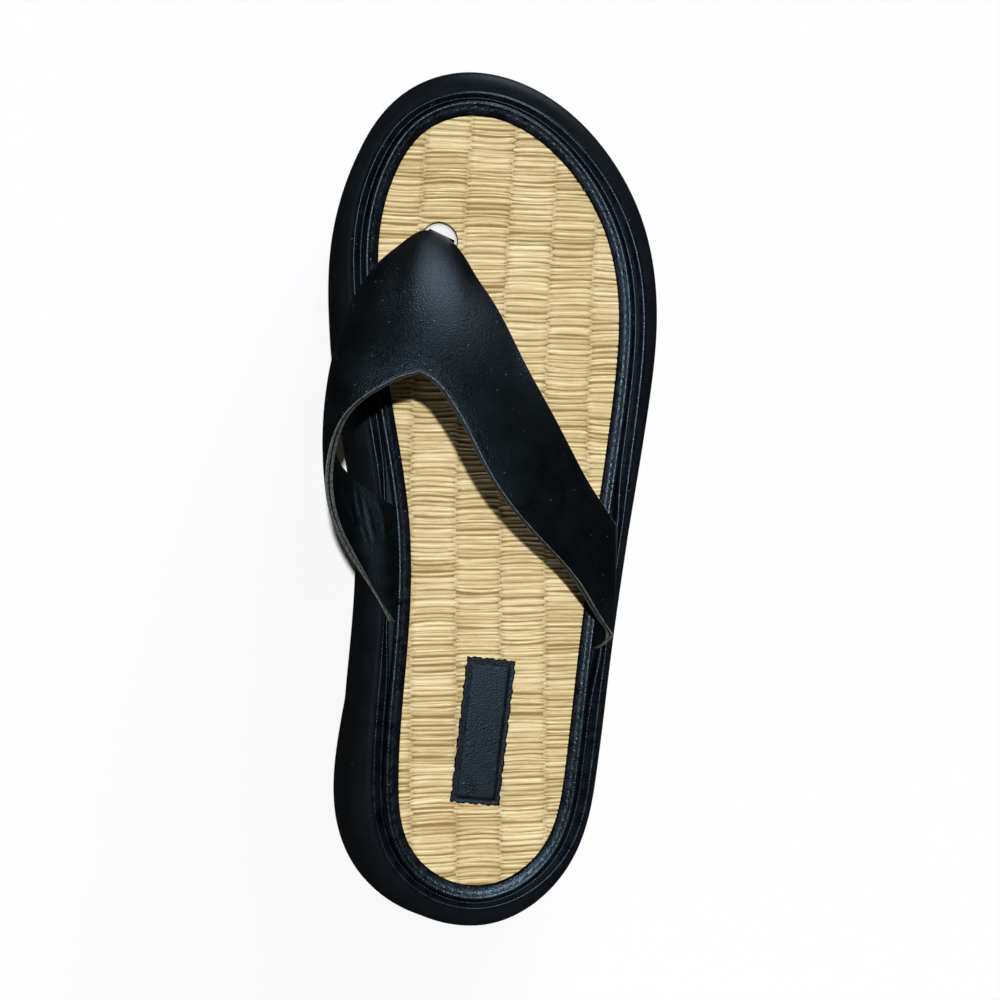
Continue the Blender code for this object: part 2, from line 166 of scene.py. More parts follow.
def paired_edge(count):
    """Stations in pairs that lie straight across the shoe, closer together at heel and toe."""
    share = (1 - np.cos(np.pi * np.arange(count + 1) / count)) / 2
    levels = fine_edge[0, 1] + (fine_edge[toe_index, 1] - fine_edge[0, 1]) * share
    chains = []
    for columns in two_sides(np.column_stack([fine_edge, fine_normal])):
        chains.append(np.column_stack([np.interp(levels, columns[:, 1], column) for column in columns.T]))
    loop = np.concatenate([chains[0][:-1], chains[1][:0:-1]])
    points, normals = loop[:, :2], loop[:, 2:]
    normals[0], normals[count] = (0, -1), (0, 1)
    return points, normals / np.linalg.norm(normals, axis=1)[:, None]


# %% Heights over the floor
def footbed_height(y):
    """Top of the straw: level heel seat, slope to the ball, lift to the toe."""
    along = np.asarray(y, float) + STRAW_LENGTH / 2
    slope = np.clip((along - HEEL_SEAT_END) / (BALL_PLACE - HEEL_SEAT_END), 0, 1)
    lift = np.clip((along - BALL_PLACE) / (STRAW_LENGTH - BALL_PLACE), 0, None)
    drop = (HEEL_HEIGHT - BALL_HEIGHT) * slope**2 * (3 - 2 * slope)
    return HEEL_HEIGHT - drop + (TOE_HEIGHT - BALL_HEIGHT) * lift**2


def floor_height(y):
    """Underside of the platform: flat, with toe spring and a small heel bevel."""
    along = np.asarray(y, float) + STRAW_LENGTH / 2
    toe = np.clip((along - TOE_SPRING_START) / (STRAW_LENGTH - TOE_SPRING_START), 0, None)
    heel = np.clip((HEEL_BEVEL_END - along) / HEEL_BEVEL_END, 0, None)
    return TOE_SPRING * toe**2 + HEEL_BEVEL * heel**2


print("straw top, heel to toe:", np.round(footbed_height(np.array([-0.1, 0.0, 0.1])) * 1000, 1), "mm")

# %% [markdown]
# ## Meshes from arrays
#
# A sandal is mostly sheets and rolls, so one helper that skins rows of points is enough. Blender's
# modifiers could do parts of this, but rows of points keep every piece on the shoe's own lines.


# %% Skins and pieces
def skin(rows, round_rows=True, round_across=False):
    """Points and four-sided faces over rows of points. Rows can close on themselves, and so can the stack."""
    rows = np.asarray(rows, float)
    index = np.arange(rows.shape[0] * rows.shape[1]).reshape(rows.shape[:2])
    if round_across:
        index = np.vstack([index, index[:1]])
    if round_rows:
        index = np.hstack([index, index[:, :1]])
    quads = np.stack([index[:-1, :-1], index[:-1, 1:], index[1:, 1:], index[1:, :-1]], axis=-1)
    return rows.reshape(-1, 3), quads.reshape(-1, 4)


def across_caps(size, first):
    """Faces that close a ring of paired stations straight across the shoe."""
    half = size // 2
    faces = [(first, first + 1, first + size - 1)]
    faces += [(first + i, first + i + 1, first + size - i - 1, first + size - i) for i in range(1, half - 1)]
    return faces + [(first + half - 1, first + half, first + half + 1)]


def make_piece(name, points, faces, finishes, node=None):
    """A smooth mesh piece on the frame. Its places are measured from the footbed's own lines."""
    mesh = bpy.data.meshes.new(name)
    points = np.asarray(points, float) + (LINE_X, LINE_Y, 0)
    mesh.from_pydata(points.tolist(), [], [tuple(int(i) for i in face) for face in faces])
    builder = bmesh.new()
    builder.from_mesh(mesh)
    bmesh.ops.recalc_face_normals(builder, faces=builder.faces)
    builder.to_mesh(mesh)
    builder.free()
    mesh.shade_smooth()
    for finish in finishes:
        mesh.materials.append(finish)
    piece = bpy.data.objects.new(name, mesh)
    bpy.context.scene.collection.objects.link(piece)
    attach(piece, "root")
    if node:
        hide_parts(node)
    print(name, len(mesh.vertices), "points,", len(mesh.polygons), "faces")
    return piece


def mark_points(piece, name, values):
    """One number for each point of a piece, which its finish can read by name."""
    attribute = piece.data.attributes.new(name, "FLOAT", "POINT")
    attribute.data.foreach_set("value", np.asarray(values, np.float32))


# %% [markdown]
# ## Shader sums
#
# A finish is a small sum: some grain, times a little, plus some wear. In Blender each step of the sum
# is a node. The class below wraps a socket, so that the sum can be written as one.


# %% A socket that takes part in sums
class Wire:
    """A shader socket that can be added, multiplied, mixed and turned into a bump."""

    def __init__(self, socket):
        self.socket = socket
        self.tree = socket.id_data

    def node(self, kind, settings, sockets, output=0):
        """Any node: its type, its settings, then the values or links of its sockets."""
        made = self.tree.nodes.new(kind)
        for name, value in settings.items():
            setattr(made, name, value)
        for name, value in sockets.items():
            if isinstance(value, Wire):
                self.tree.links.new(value.socket, made.inputs[name])
            else:
                made.inputs[name].default_value = value
        return Wire(made.outputs[output])

    def maths(self, operation, first, second):
        return self.node("ShaderNodeMath", {"operation": operation}, {0: first, 1: second})

    def __add__(self, other):
        return self.maths("ADD", self, other)

    def __sub__(self, other):
        return self.maths("SUBTRACT", self, other)

    def __rsub__(self, other):
        return self.maths("SUBTRACT", other, self)

    def __mul__(self, other):
        return self.maths("MULTIPLY", self, other)

    __radd__ = __add__
    __rmul__ = __mul__

    def between(self, low, high):
        """0 below low, 1 above high, and a soft step between them."""
        ends = {"Value": self, "From Min": low, "From Max": high}
        return self.node("ShaderNodeMapRange", {"interpolation_type": "SMOOTHSTEP"}, ends)

    def mix(self, first, second):
        """A colour that goes from the first to the second as this value goes from 0 to 1."""
        ends = {0: self, 6: (*first, 1) if isinstance(first, tuple) else first}
        ends[7] = (*second, 1) if isinstance(second, tuple) else second
        return self.node("ShaderNodeMix", {"data_type": "RGBA"}, ends, output=2)

    def stretched(self, *amounts):
        """A place with each of its axes scaled."""
        return self.node("ShaderNodeVectorMath", {"operation": "MULTIPLY"}, {0: self, 1: amounts})

    def part(self, axis):
        """One axis of a place or of a direction."""
        return self.node("ShaderNodeSeparateXYZ", {}, {0: self}, output="XYZ".index(axis))

    def noise(self, scale, detail=2.0, roughness=0.5):
        """Soft noise at this place, from 0 to 1. The scale counts bumps in a metre."""
        sockets = {"Vector": self, "Scale": scale, "Detail": detail, "Roughness": roughness}
        return self.node("ShaderNodeTexNoise", {}, sockets)

    def cells(self, scale, output=0):
        """Cells at this place: the distance to the nearest cell's middle, or its colour as output 1."""
        return self.node("ShaderNodeTexVoronoi", {}, {"Vector": self, "Scale": scale}, output)

    def marked(self, name):
        """The number that each point of the mesh carries under this name."""
        return self.node("ShaderNodeAttribute", {"attribute_name": name}, {}, output=2)

    def bump(self, height):
        """A normal from this value, which stands for that height in metres where it is 1."""
        return self.node("ShaderNodeBump", {}, {"Height": self, "Strength": 1.0, "Distance": height})


# %% A finish to start from
def new_finish(name, **sockets):
    """A Principled material with some of its sockets set, and the place on the shoe to draw grain with."""
    material = bpy.data.materials.new(name)
    material.use_nodes = True
    tree = material.node_tree
    shader = tree.nodes["Principled BSDF"]
    for label, value in sockets.items():
        socket = shader.inputs[label.replace("_", " ")]
        socket.default_value = (*value, 1) if isinstance(value, tuple) else value
    place = Wire(tree.nodes.new("ShaderNodeTexCoord").outputs["Object"])

    def feed(label, wire):
        tree.links.new(wire.socket, shader.inputs[label])

    return material, place, feed


# %% [markdown]
# ## Camera and studio
#
# The sandal is seen from straight above, from a point over its inner side. One small, high light comes
# from the toe end, so the strap's edge throws a clear shadow on the straw. Black leather shows little
# but reflections, so they are planned: a wide window behind the toe draws the soft gleam on the strap's
# front slope, the rest of the sky is dim, and the pale floor is kept out of reflections. The camera itself
# sees a plain pale backdrop in place of that sky, so that the other sides have a quiet background too.

# %% Camera
CAMERA_PLACE = Vector((-0.0560, 0.0002, 0.4270))
CAMERA_AIM = Vector((0.0005, 0.0002, 0.0300))
LENS = 45.5

camera = bpy.data.objects.new("camera", bpy.data.cameras.new("camera"))
back = (CAMERA_PLACE - CAMERA_AIM).normalized()
right = Vector((0, 1, 0)).cross(back).normalized()
turn = Matrix((right, back.cross(right), back)).transposed()
camera.matrix_world = Matrix.Translation(CAMERA_PLACE) @ turn.to_4x4()
camera.data.lens = LENS
camera.data.clip_start = 0.01
bpy.context.scene.collection.objects.link(camera)
bpy.context.scene.camera = camera
print("camera", tuple(round(v, 3) for v in CAMERA_PLACE))

# %% Key light
KEY_FROM = Vector((-0.025, 0.12, 1.0))
KEY_ENERGY = 3.1
KEY_ANGLE = math.radians(2.0)

key = bpy.data.lights.new("key_light", "SUN")
key.energy = KEY_ENERGY
key.angle = KEY_ANGLE
key_object = bpy.data.objects.new("key_light", key)
key_object.rotation_euler = KEY_FROM.to_track_quat("Z", "Y").to_euler()
bpy.context.scene.collection.objects.link(key_object)
print("key light", KEY_ENERGY)

# %% Sky with a window, and the backdrop
SKY_TOP, SKY_SIDE, SKY_LOW = (0.024, 0.020, 0.013), (0.068, 0.057, 0.039), (0.02, 0.02, 0.02)
HORIZON_BAND, SKY_BAND = (-0.1, 0.1), (0.2, 0.95)
WINDOW, WINDOW_SIDE = (5.8, 6.4, 7.0), 0.34
WINDOW_AHEAD, WINDOW_SPREAD = (0.62, 0.99), (0.004, 0.10)
WINDOW_FOOT, WINDOW_HEAD = (-0.5, -0.2), (0.15, 0.62)
BACKDROP = (0.93, 0.93, 0.94)

sky = bpy.data.worlds.new("studio")
sky.use_nodes = True
bpy.context.scene.world = sky
sky_way = Wire(sky.node_tree.nodes.new("ShaderNodeTexCoord").outputs["Generated"])
sky_rise, toe_way = sky_way.part("Z"), sky_way.part("Y")
side_way = sky_way.part("X") - WINDOW_SIDE
window = toe_way.between(*WINDOW_AHEAD) * (1 - (side_way * side_way).between(*WINDOW_SPREAD))
window = window * sky_rise.between(*WINDOW_FOOT) * (1 - sky_rise.between(*WINDOW_HEAD))
dome = sky_rise.between(*HORIZON_BAND).mix(SKY_LOW, sky_rise.between(*SKY_BAND).mix(SKY_SIDE, SKY_TOP))
seen = Wire(sky.node_tree.nodes.new("ShaderNodeLightPath").outputs["Is Camera Ray"])
sky_colour = seen.mix(window.mix(dome, WINDOW), BACKDROP)
sky.node_tree.links.new(sky_colour.socket, sky.node_tree.nodes["Background"].inputs["Color"])
bpy.context.scene.view_settings.view_transform = "Standard"
print("sky with", len(sky.node_tree.nodes), "nodes")

# %% Floor
FLOOR_REACH = 3.0

floor_finish, place, feed = new_finish("pale_floor", Roughness=0.9, Specular_IOR_Level=0.1)
feed("Base Color", place.noise(3.0).mix((0.92, 0.92, 0.935), (0.94, 0.94, 0.955)))
floor_mesh = bpy.data.meshes.new("floor")
corners = [(x, y, 0) for x, y in ((-1, -1), (1, -1), (1, 1), (-1, 1))]
floor_mesh.from_pydata([tuple(c * FLOOR_REACH for c in corner) for corner in corners], [], [(0, 1, 2, 3)])
floor_mesh.materials.append(floor_finish)
floor = bpy.data.objects.new("floor", floor_mesh)
floor.visible_glossy = False
bpy.context.scene.collection.objects.link(floor)
print("floor", 2 * FLOOR_REACH, "m wide")

# %% [markdown]
# ## Black leather
#
# Strap, binding and platform are the same kind of smooth black hide, each with a little more or less
# gloss. The grain is a fine pebble of cells with some finer noise, as bump. Tiny pale specks sit on it,
# partly dust and partly painted glints of the grain, and the gloss changes slowly over the surface.
# Where a mesh marks its points, as along the strap's fold, the black is painted grey as a highlight on
# the fold. A mesh without that mark simply gets none of it.

# %% One leather finish, with the amounts as arguments
SPECK_COLOUR, SPECK_COVER = (0.20, 0.22, 0.23), 0.8
SPECK_SPACING, SPECK_SIZE = 0.0016, (0.07, 0.14)
WORN_BAND = (0.35, 0.7)
FINE_GRAIN, FINE_ROUGH = 2.4, 0.10
PEBBLE_SHARE, FINE_SHARE = 0.7, 0.5
COOL_GLEAM = (0.52, 0.77, 1.0)
# The grey of the painted highlight along the strap's fold.
FOLD_HIGHLIGHT_COLOUR = (0.036, 0.045, 0.042)


def leather(name, deep, worn, shine, gloss, grain, depth, specks, blotch=0.011, mottle=0.16):
    """Black leather: two colours, strength and roughness of its gleam, grain size and depth, specks.

    The blotches are where it is worn: their size, and how much they change its roughness.
    """
    material, place, feed = new_finish(name, Specular_IOR_Level=shine, Specular_Tint=COOL_GLEAM)
    wear = place.noise(1 / blotch, 4.0, 0.6)
    pebble = place.cells(1 / grain)
    fine = place.noise(FINE_GRAIN / grain, 3.0, 0.6)
    # The pale specks stand partly for dust and partly for painted glints of the grain.
    speck_cells = place.cells(1 / SPECK_SPACING)
    lucky = place.cells(1 / SPECK_SPACING, output=1).part("X")
    dust_and_glint = (1 - speck_cells.between(*SPECK_SIZE)) * lucky.between(1 - specks, 1.001 - specks)
    # Marked points are painted grey: a painted highlight along the strap's fold.
    painted_fold_highlight = place.marked("painted_fold_highlight")
    hide = painted_fold_highlight.mix(wear.between(*WORN_BAND).mix(deep, worn), FOLD_HIGHLIGHT_COLOUR)
    feed("Base Color", (dust_and_glint * SPECK_COVER).mix(hide, SPECK_COLOUR))
    feed("Roughness", wear * mottle + fine * FINE_ROUGH + (gloss - mottle / 2 - FINE_ROUGH / 2))
    feed("Normal", (pebble * PEBBLE_SHARE + fine * FINE_SHARE).bump(depth))
    return material


platform_leather = leather(
    "platform_leather", deep=(0.0046, 0.0061, 0.0079), worn=(0.0064, 0.0084, 0.0108),
    shine=0.055, gloss=0.42, grain=0.0009, depth=0.00006, specks=0.03,
)
binding_leather = leather(
    "binding_leather", deep=(0.0018, 0.0026, 0.0045), worn=(0.0060, 0.0080, 0.0112),
    shine=0.31, gloss=0.31, grain=0.0006, depth=0.00007, specks=0.16, blotch=0.0035, mottle=0.55,
)
strap_leather = leather(
    "strap_leather", deep=(0.0013, 0.0021, 0.0027), worn=(0.0035, 0.0051, 0.0065),
    shine=0.32, gloss=0.30, grain=0.0005, depth=0.00014, specks=0.14,
)
print("leather finishes made")

# %% [markdown]
# ## The platform
#
# The platform is a thick block with a flared wall and a round shoulder, covered in smooth leather. At the
# rim the cover ends in a small roll, with a bead of piping inside it, which gives way where the strap's
# feet push in beside it. We skin rings round the shoe from the tread up, over the shoulder, the roll and
# the bead, and down into the tray that takes the footbed.

# %% Rings round the platform
PLATFORM_STATIONS = 150
station_edge, station_normal = paired_edge(PLATFORM_STATIONS)


def by_side(toe, heel, inner, outer):
    """A size at every station that changes smoothly with the way the edge faces there."""
    across, along = station_normal.T
    return np.where(across > 0, outer, inner) * across**2 + np.where(along > 0, toe, heel) * along**2


def wall_column(name):
    """One column of the wall's table, read at every station."""
    sizes = [getattr(section, name) for section in WALL_SECTIONS]
    return np.interp(station_edge[:, 1] + half_length, [section.along for section in WALL_SECTIONS], sizes)


def ring(offset, height):
    """One ring of points round the shoe."""
    flat = station_edge + station_normal * np.broadcast_to(offset, len(station_edge))[:, None]
    return np.column_stack([flat, np.broadcast_to(height, len(flat))])


def level(offset, rise):
    """A ring that follows the top of the straw."""
    flat = ring(offset, 0.0)
    return ring(offset, footbed_height(flat[:, 1]) + rise)


print(len(station_edge), "stations round the platform")

# %% Floor, wall and shoulder
FLOOR_STEPS, WALL_STEPS, SHOULDER_STEPS = 6, 9, 12
RIM_TOE, RIM_HEEL, RIM_INNER, RIM_OUTER = -0.0007, -0.0005, 0.0, 0.0012

lip_outside = BINDING_WIDTH + GROOVE_WIDTH + LIP_WIDTH
shoulder = lip_outside + by_side(
    TOE_SHOULDER, HEEL_SHOULDER, wall_column("inner_shoulder"), wall_column("outer_shoulder")
)
widest = shoulder + by_side(
    TOE_FLARE + TOE_SWING * station_normal[:, 0],
    HEEL_FLARE + HEEL_SWING * station_normal[:, 0],
    wall_column("inner_flare"),
    wall_column("outer_flare"),
)
rim_shift = by_side(RIM_TOE, RIM_HEEL, RIM_INNER, RIM_OUTER)
lip_line = lip_outside + rim_shift
rim = footbed_height(ring(lip_line, 0)[:, 1]) - LIP_DROP
floor_line = floor_height(ring(widest, 0)[:, 1])
shoulder_foot = rim - SHOULDER_DROP
wall_foot = floor_line + FLOOR_ROUND
rings = []
for turn in np.linspace(0, math.pi / 2, FLOOR_STEPS):
    out = widest - FLOOR_ROUND * (1 - math.sin(turn))
    rings.append(ring(out, floor_line + FLOOR_ROUND * (1 - math.cos(turn))))
for share in np.linspace(0, 1, WALL_STEPS)[1:-1]:
    out = widest + (shoulder - widest) * share + WALL_BULGE * 4 * share * (1 - share)
    rings.append(ring(out, wall_foot + (shoulder_foot - wall_foot) * share))
for turn in np.linspace(0, math.pi / 2, SHOULDER_STEPS):
    out = lip_line + (shoulder - lip_line) * math.cos(turn)
    rings.append(ring(out, shoulder_foot + SHOULDER_DROP * math.sin(turn)))
print(len(rings), "rings up to the rim")

# %% The rolled rim, and where the strap's feet push it out
Fold = namedtuple("Fold", "name out rise give", defaults=(0.0,))
RIM_SECTION = (
    Fold("shoulder_top", 0.00840, -0.00060, 0.00000),
    Fold("roll_start", 0.00812, -0.00042, 0.00008),
    Fold("roll_top", 0.00764, -0.00018, 0.00030),
    Fold("roll_end", 0.00708, -0.00050, 0.00060),
    Fold("outer_seam", 0.00632, -0.00115, 0.00128),
    Fold("bead_outside", 0.00600, -0.00040, 0.00150),
    Fold("bead_top", 0.00558, -0.00002, 0.00150),
    Fold("bead_inside", 0.00510, -0.00042, 0.00150),
    Fold("inner_seam", 0.00484, -0.00140, 0.00150),
)
INNER_FOOT, OUTER_FOOT = (-0.0020, -0.0368), (-0.0085, -0.0455)
PUSH_REACH = 0.012
RIM_STEPS = 4

past_foot = np.zeros(len(station_edge))
for side, foot in ((-1, INNER_FOOT), (1, OUTER_FOOT)):
    past = np.maximum(station_edge[:, 1] - foot[0], foot[1] - station_edge[:, 1]).clip(0)
    past_foot = np.where(station_normal[:, 0] * side > 0, past, past_foot)
push = np.exp(-((past_foot / PUSH_REACH) ** 2)) * station_normal[:, 0] ** 2
folds = np.array([(fold.out, fold.rise, fold.give) for fold in RIM_SECTION])
first_rim = len(rings) - 1
seam = [fold.name for fold in RIM_SECTION].index("outer_seam")
rim_folds = []
for bump in (folds[: seam + 1], folds[seam:]):
    rim_folds += spline(bump, np.arange(1, (len(bump) - 1) * RIM_STEPS + 1) / RIM_STEPS).tolist()
for out, rise, give in rim_folds:
    spread = (out - folds[-1, 0]) / (folds[0, 0] - folds[-1, 0])
    rings.append(level(out + give * push + rim_shift * spread, rise))
for rise in (-FOOTBED_THICK / 2, -FOOTBED_THICK - GAP):
    rings.append(level(folds[-1, 0] + folds[-1, 2] * push, rise))
print(len(rings), "rings in all")

# %% The platform's skin
points, faces = skin(rings)
size = len(station_edge)
faces = [*faces, *across_caps(size, 0), *across_caps(size, len(points) - size)]
platform = make_piece(
    "platform", points, faces, [platform_leather, binding_leather], "platform_sole"
)
for face in platform.data.polygons:
    face.material_index = int(first_rim <= face.index // size < len(rings) - 1)
platform.data.set_sharp_from_angle(angle=math.radians(50))

# %% [markdown]
# ## The padded binding
#
# A roll of soft leather frames the straw. It is stuffed and sewn through along its length: from the straw
# it rises in one soft slope, with a line of stitches sunk a little into it, to a crest near the outside.
# Its two ends meet at the inner side of the foot, where a small ridge shows the joint. A cloth simulation
# could puff it up, but a roll this narrow keeps its section, so we draw that and sweep it round.

# %% The binding's section and its stitch line
BINDING_SECTION = (
    Fold("inner_foot", 0.00030, -0.00500),
    Fold("inner_edge", 0.00030, 0.00000),
    Fold("inner_round", 0.00050, 0.00032),
    Fold("inner_slope", 0.00110, 0.00065),
    Fold("slope_top", 0.00185, 0.00093),
    Fold("stitch_line", 0.00250, 0.00110),
    Fold("outer_swell", 0.00315, 0.00132),
    Fold("crest", 0.00375, 0.00142),
    Fold("outer_fall", 0.00422, 0.00114),
    Fold("outer_round", 0.00450, 0.00050),
    Fold("outer_edge", 0.00462, -0.00050),
    Fold("outer_foot", 0.00462, -0.00500),
)
STITCH_PITCH = 0.0026
STITCH_DIP, STITCH_DIP_WIDTH = 0.00006, 0.00040
JOINT_Y, JOINT_SLANT, JOINT_WIDTH, JOINT_HEIGHT = -0.0292, -0.42, 0.00045, 0.00032
BINDING_STATIONS = 1300
SECTION_STEPS = 4

section = np.array([(fold.out, fold.rise) for fold in BINDING_SECTION])
crown = spline(section[1:-1], np.arange((len(section) - 3) * SECTION_STEPS + 1) / SECTION_STEPS)
profile = np.vstack([section[:1], crown, section[-1:]])
band_edge, band_normal, band_along = even_edge(BINDING_STATIONS)
stitch_count = round(edge_length / STITCH_PITCH)
stitch_fold = next(fold for fold in BINDING_SECTION if fold.name == "stitch_line")
phase = (band_along / edge_length * stitch_count) % 1
prick = np.minimum(phase, 1 - phase) * STITCH_PITCH
dip = STITCH_DIP * np.exp(-((prick / STITCH_DIP_WIDTH) ** 2))
rows = []
for out, rise in profile:
    flat = band_edge + band_normal * out
    sunk = dip * np.exp(-(((out - stitch_fold.out) / STITCH_DIP_WIDTH) ** 2)) if rise > 0 else 0
    from_joint = (band_edge[:, 1] - JOINT_Y - JOINT_SLANT * out) / JOINT_WIDTH
    joint = JOINT_HEIGHT * np.exp(-(from_joint**2)) * (band_normal[:, 0] < 0) if rise > 0 else 0
    rows.append(np.column_stack([flat, footbed_height(flat[:, 1]) + rise - sunk + joint]))
points, faces = skin(rows, round_across=True)
binding = make_piece("padded_binding", points, faces, [binding_leather], "footbed_binding")

# %% [markdown]
# ## Threads
#
# Each stitch is a short, slightly flattened bead of thread that dives into the leather at both ends.
# Hundreds of them are drawn as one mesh from arrays, which is much lighter than hundreds of objects.

# %% A thread finish and a function for many stitches
THREAD_DARK, THREAD_LIGHT, GLINT_COLOUR = (0.002, 0.003, 0.004), (0.008, 0.010, 0.013), (0.42, 0.45, 0.47)
TWIST_SCALE, TWIST_DEPTH = 2600, 0.00008
GLINT_SPACING, GLINT_SIZE, GLINT_COVER = 0.0042, (0.07, 0.15), 0.8
THREAD_STEPS, THREAD_SIDES = 6, 8

thread_finish, place, feed = new_finish("black_thread", Specular_IOR_Level=0.3)
twist = place.noise(TWIST_SCALE, 2.0)
# The pale spots on the thread are painted glints: highlights put into its colour.
glint = (1 - place.cells(1 / GLINT_SPACING).between(*GLINT_SIZE)) * GLINT_COVER
feed("Base Color", glint.mix(twist.mix(THREAD_DARK, THREAD_LIGHT), GLINT_COLOUR))
feed("Roughness", twist * 0.3 + 0.45)
feed("Normal", twist.bump(TWIST_DEPTH))


def stitches(middles, along, length, width, height):
    """Points and faces of many stitches, from their middles and the directions along them."""
    up = np.array([0.0, 0.0, 1.0])
    across = np.cross(up, along)
    share = np.linspace(-1, 1, THREAD_STEPS + 1)
    girth = np.sqrt(np.clip(1 - share**4, 0.02, 1))
    turn = np.arange(THREAD_SIDES) * 2 * np.pi / THREAD_SIDES
    body = (
        along[:, None, None] * (share * length / 2)[None, :, None, None]
        + across[:, None, None] * np.outer(girth, np.cos(turn))[None, :, :, None] * width / 2
        + up * np.outer(girth, np.sin(turn))[None, :, :, None] * height / 2
        - up * (share**4 * height)[None, :, None, None]
    )
    points = (middles[:, None, None] + body).reshape(-1, 3)
    _, faces = skin(body[0])
    size = (THREAD_STEPS + 1) * THREAD_SIDES
    caps = [range(THREAD_SIDES - 1, -1, -1), range(size - THREAD_SIDES, size)]
    one = [*map(tuple, faces), *map(tuple, caps)]
    return points, [tuple(i + n * size for i in face) for n in range(len(middles)) for face in one]


# %% Stitches of the binding
STITCH_LENGTH, STITCH_WIDTH, STITCH_HEIGHT = 0.0018, 0.00042, 0.00030
STITCH_PROUD = 0.15
seam_edge, seam_normal, _ = even_edge(stitch_count * 2)
seam_edge, seam_normal = seam_edge[1::2], seam_normal[1::2]
flat = seam_edge + seam_normal * stitch_fold.out
thread_rise = stitch_fold.rise + STITCH_HEIGHT * STITCH_PROUD
middles = np.column_stack([flat, footbed_height(flat[:, 1]) + thread_rise])
along = np.column_stack([-seam_normal[:, 1], seam_normal[:, 0], np.zeros(len(flat))])
points, faces = stitches(middles, along, STITCH_LENGTH, STITCH_WIDTH, STITCH_HEIGHT)
make_piece("binding_stitches", points, faces, [thread_finish])

# %% [markdown]
# ## Woven straw
#
# The footbed is a mat of rush. Its stems run across the foot and go over one warp cord and under the
# next, so each stem shows as a short pillow one column wide, and the next column shows the stems in
# between. An image of straw would be flat under a low light. Real pillows, about a thousand of them as
# one mesh, catch the light and go dark in the gaps, as the mat does. Their lower edges are marked sharp,
# because smooth shading would bend the light round them and draw black lines in every gap. Like the floor,
# the mat is kept out of the leather's reflections.

# %% The straw's finish
STRAW_DARK, STRAW_PALE, STRAW_GAP_SHADE = (0.52, 0.366, 0.138), (1.0, 0.86, 0.51), (0.27, 0.168, 0.054)
FIBRE_STRETCH, HAIR_STRETCH = (45, 2300, 2300), (30, 6000, 6000)
SPLIT_WIDTH, SPLIT_COVER, GAP_SHADE_COVER = 0.0022, 0.44, 0.90
FIBRE_DEPTH = 0.00016
BACKING_DARK, BACKING_PALE = (0.24, 0.155, 0.055), (0.38, 0.26, 0.10)

straw_finish, place, feed = new_finish("straw_rush", Specular_IOR_Level=0.45)
# Each stem carries a share of painted shade: its sides and tucked ends are painted darker brown, where the
# gaps between the pillows fall in shade.
tint, gap_shade = place.marked("stem_tint"), place.marked("stem_painted_shade")
fibre = place.stretched(*FIBRE_STRETCH).noise(1.0, 3.0, 0.6)
hair = place.stretched(*HAIR_STRETCH).noise(1.0, 2.0, 0.6)
patchy = place.noise(45, 3.0, 0.55)
pale = (tint * 0.5 + patchy * 0.35 + fibre * 1.2 + hair * 0.6 - 0.88).between(0.0, 1.0)
split = 1 - ((fibre - 0.5) * (fibre - 0.5)).between(0.0, SPLIT_WIDTH)
stem = (pale - split * SPLIT_COVER + 0.06).mix(STRAW_DARK, STRAW_PALE)
feed("Base Color", (gap_shade * GAP_SHADE_COVER).mix(stem, STRAW_GAP_SHADE))
feed("Roughness", fibre * 0.25 + 0.34)
feed("Normal", (fibre * 0.7 + hair * 0.3).bump(FIBRE_DEPTH))
# The backing shows only in the gaps between the stems. Its dark brown is partly the backing's own colour and
# partly painted shade for those gaps.
backing_finish, place, feed = new_finish("straw_backing", Roughness=0.8, Specular_IOR_Level=0.2)
feed("Base Color", place.noise(900, 3.0).mix(BACKING_DARK, BACKING_PALE))
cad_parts["straw_insole"].data.materials.clear()
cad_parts["straw_insole"].data.materials.append(backing_finish)
print("straw and its backing made")

# %% Sizes of the weave
HOLE_X, HOLE_Y, HOLE_RADIUS = -0.0120, 0.0794, 0.0060
COLUMNS = (-0.0484, -0.0346, -0.0209, -0.0072, 0.0065, 0.0203, 0.0340, 0.0476)
FAN_START, FAN_LENGTH, FAN_REACH = -0.020, 0.110, 0.0034
STEM_SPACING = 0.00068
STEM_UNEVEN = 0.55
STEM_PRESS, PRESS_CHANGE = 1.12, 0.12
STEM_CROWN, STEM_TUCK = 0.00037, 0.00022
STEM_OVERRUN = 0.0014
END_SHARE = 0.20
STEM_WANDER, STEM_FLOW, STEM_BOW = 0.00007, 0.00012, 0.00022
END_WIDTH = 0.70
ALONG_SHARES = (0, 0.05, 0.10, 0.15, 0.21, 0.28, 0.40, 0.60, 0.72, 0.79, 0.85, 0.90, 0.95, 1)
ALONG_STEPS, ACROSS_STEPS = len(ALONG_SHARES) - 1, 4
COLUMN_TONE = 0.05
EDGE_TUCK = 0.0002
MOST_STEMS, STEM_SHIFT, BOW_CHANGE = 420, 0.00006, 0.35
REACH_RANGE, LIFT_RANGE, OVERRUN_RANGE = (0.80, 1.16), (0.7, 1.15), (0.7, 1.3)
# How much painted shade a stem gets at its tucked ends and at its sides.
END_SHADE, SIDE_SHADE = 0.5, 0.9
SHARP_STEM = math.radians(65)
rng = np.random.default_rng(11)


def straw_limits(y):
    """Inner and outer end of the straw across the shoe at a place along it."""
    outer, inner = two_sides(fine_edge)
    return np.interp(y, inner[:, 1], inner[:, 0]), np.interp(y, outer[:, 1], outer[:, 0])


def column_line(column, y):
    """A warp cord's place: straight at the heel, fanning out a little towards the toe."""
    return COLUMNS[column] + FAN_REACH * np.clip((y - FAN_START) / FAN_LENGTH, 0, None) ** 2


